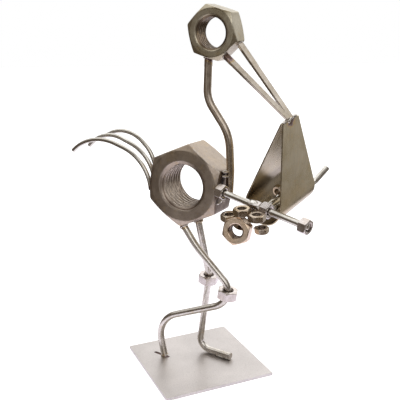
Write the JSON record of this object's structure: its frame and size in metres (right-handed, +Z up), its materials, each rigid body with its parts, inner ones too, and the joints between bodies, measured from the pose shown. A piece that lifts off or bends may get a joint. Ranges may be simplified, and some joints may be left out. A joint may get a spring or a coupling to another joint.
{
  "type": "metal stork figurine",
  "caption": "Standing stork with a baby slung from its beak, welded from steel nuts, bent rods, tapered bars and a bent sheet on a square base plate.",
  "frame": {"origin": "middle of the base plate's underside", "axes": "+X the way the stork faces, +Y to its left side, +Z up"},
  "size_m": [0.1874, 0.1128, 0.2525],
  "materials": {
    "dark_steel": "dark worn steel under clear lacquer",
    "bright_steel": "drawn steel rod under clear lacquer",
    "zinc_steel": "bright plated nut with heat tints",
    "satin_sheet": "satin ground sheet",
    "brushed_sheet": "brushed dark sheet"
  },
  "bodies": {
    "root": {"baby_curl_nut_1": "zinc_steel", "baby_curl_nut_2": "zinc_steel", "baby_curl_nut_3": "zinc_steel", "baby_curl_nut_4": "zinc_steel", "baby_face_nut": "zinc_steel", "baby_foot_nut": "zinc_steel", "baby_left_arm": "bright_steel", "baby_left_hand_nut": "zinc_steel", "baby_long_leg": "bright_steel", "baby_neck_nut": "zinc_steel", "baby_right_arm": "bright_steel", "baby_right_hand_nut": "zinc_steel", "baby_short_leg": "bright_steel", "baby_shoulder_nut": "zinc_steel", "baby_torso_nut": "zinc_steel", "base_plate": "satin_sheet", "beak_lower": "bright_steel", "beak_upper": "bright_steel", "body_nut": "dark_steel", "head_nut": "dark_steel", "left_knee_nut": "zinc_steel", "left_leg": "bright_steel", "neck_rod": "bright_steel", "right_knee_nut": "zinc_steel", "right_leg": "bright_steel", "sling": "brushed_sheet", "tail_wire_left": "bright_steel", "tail_wire_middle": "bright_steel", "tail_wire_right": "bright_steel"}
  },
  "joints": []
}
